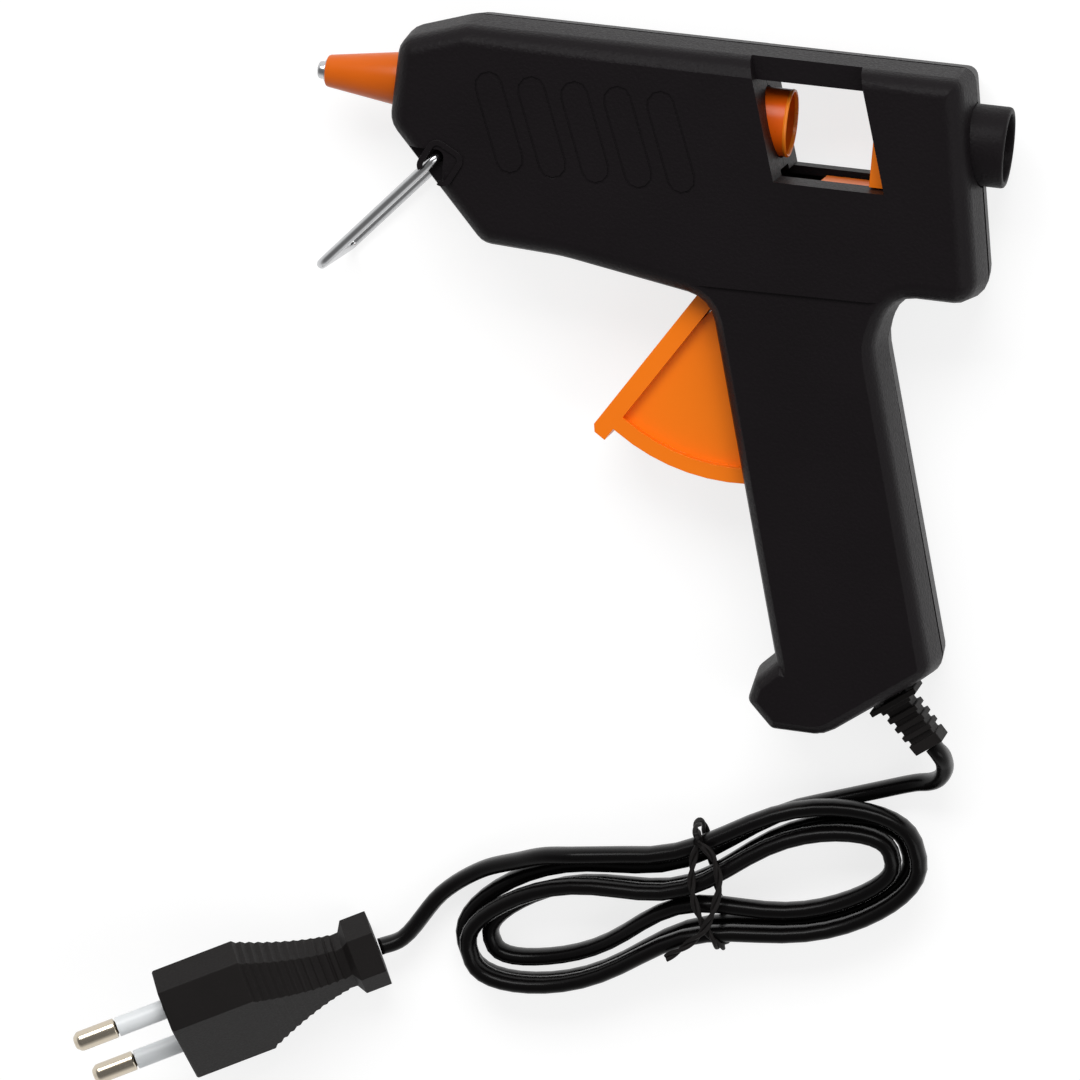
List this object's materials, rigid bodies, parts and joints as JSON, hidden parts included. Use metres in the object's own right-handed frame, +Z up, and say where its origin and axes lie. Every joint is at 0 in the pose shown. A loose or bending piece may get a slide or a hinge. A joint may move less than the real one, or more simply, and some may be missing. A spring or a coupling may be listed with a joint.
{
  "type": "hot glue gun",
  "caption": "Hand-held hot glue gun with a trigger that feeds a glue stick into a heated nozzle, a folding wire stand and a mains cord.",
  "frame": {"origin": "on the table under the middle of the tool, which lies on its right side", "axes": "+X from the nozzle to the rear, +Y from the handle's foot to the tool's top, +Z up from the table"},
  "size_m": [0.1647, 0.2206, 0.0339],
  "materials": {
    "shell": "satin textured",
    "orange": "satin",
    "silicone": "translucent satin",
    "steel": "bright plated",
    "alloy": "cast",
    "ceramic": "matt",
    "rubber": "matt",
    "cord": "gloss",
    "white": "satin",
    "nickel": "polished",
    "lead": "satin"
  },
  "bodies": {
    "housing": {"housing_left": "shell", "housing_right": "shell", "nozzle": "steel", "nozzle_sleeve": "silicone", "melt_chamber": "alloy", "heater_element": "ceramic", "heater_clip": "alloy", "feed_sleeve": "silicone", "inlet_tube": "shell", "trigger_pin": "steel", "trigger_spring": "steel", "strain_relief": "rubber", "inner_cord": "cord", "cord_clamp": "shell", "clamp_screw_1": "steel", "clamp_screw_2": "steel", "lead_wire_1": "lead", "lead_wire_2": "lead", "cord_lead": "cord", "cord_hank": "cord", "cord_tail": "cord", "twist_tie": "cord", "plug_body": "rubber", "pin_sleeve_1": "white", "pin_sleeve_2": "white", "plug_pin_1": "nickel", "plug_pin_2": "nickel", "housing_screw_1": "steel", "housing_screw_2": "steel", "housing_screw_3": "steel", "housing_screw_4": "steel", "housing_screw_5": "steel"},
    "trigger": {"trigger": "orange"},
    "carriage": {"carriage": "orange", "jaw_pin": "steel"},
    "clamp_jaw": {"clamp_jaw": "alloy"},
    "stand": {"stand": "steel"}
  },
  "joints": [
    {"name": "trigger_pull", "type": "hinge", "parent": "housing", "child": "trigger", "pos_m": [0.0207, 0.02215, 0.013], "axis": [0, 0, 1], "range_deg": [0, 22], "stiffness_Nm_per_rad": 0.05, "springref_deg": -11.46},
    {"name": "carriage_slide", "type": "slide", "parent": "housing", "child": "carriage", "axis": [-1, 0, 0], "range_m": [0, 0.0058]},
    {"name": "jaw_tilt", "type": "hinge", "parent": "carriage", "child": "clamp_jaw", "pos_m": [0.0448, 0.03775, 0.013], "axis": [0, 0, 1], "range_deg": [0, 6]},
    {"name": "stand_swing", "type": "hinge", "parent": "housing", "child": "stand", "pos_m": [-0.0397, 0.03865, 0.013], "axis": [0, 0, 1], "range_deg": [-45, 40]}
  ],
  "couplings": [
    {"joint": "carriage_slide", "follows": "trigger_pull", "m_per_rad": 0.0146},
    {"joint": "jaw_tilt", "follows": "trigger_pull", "ratio": 0.27}
  ]
}
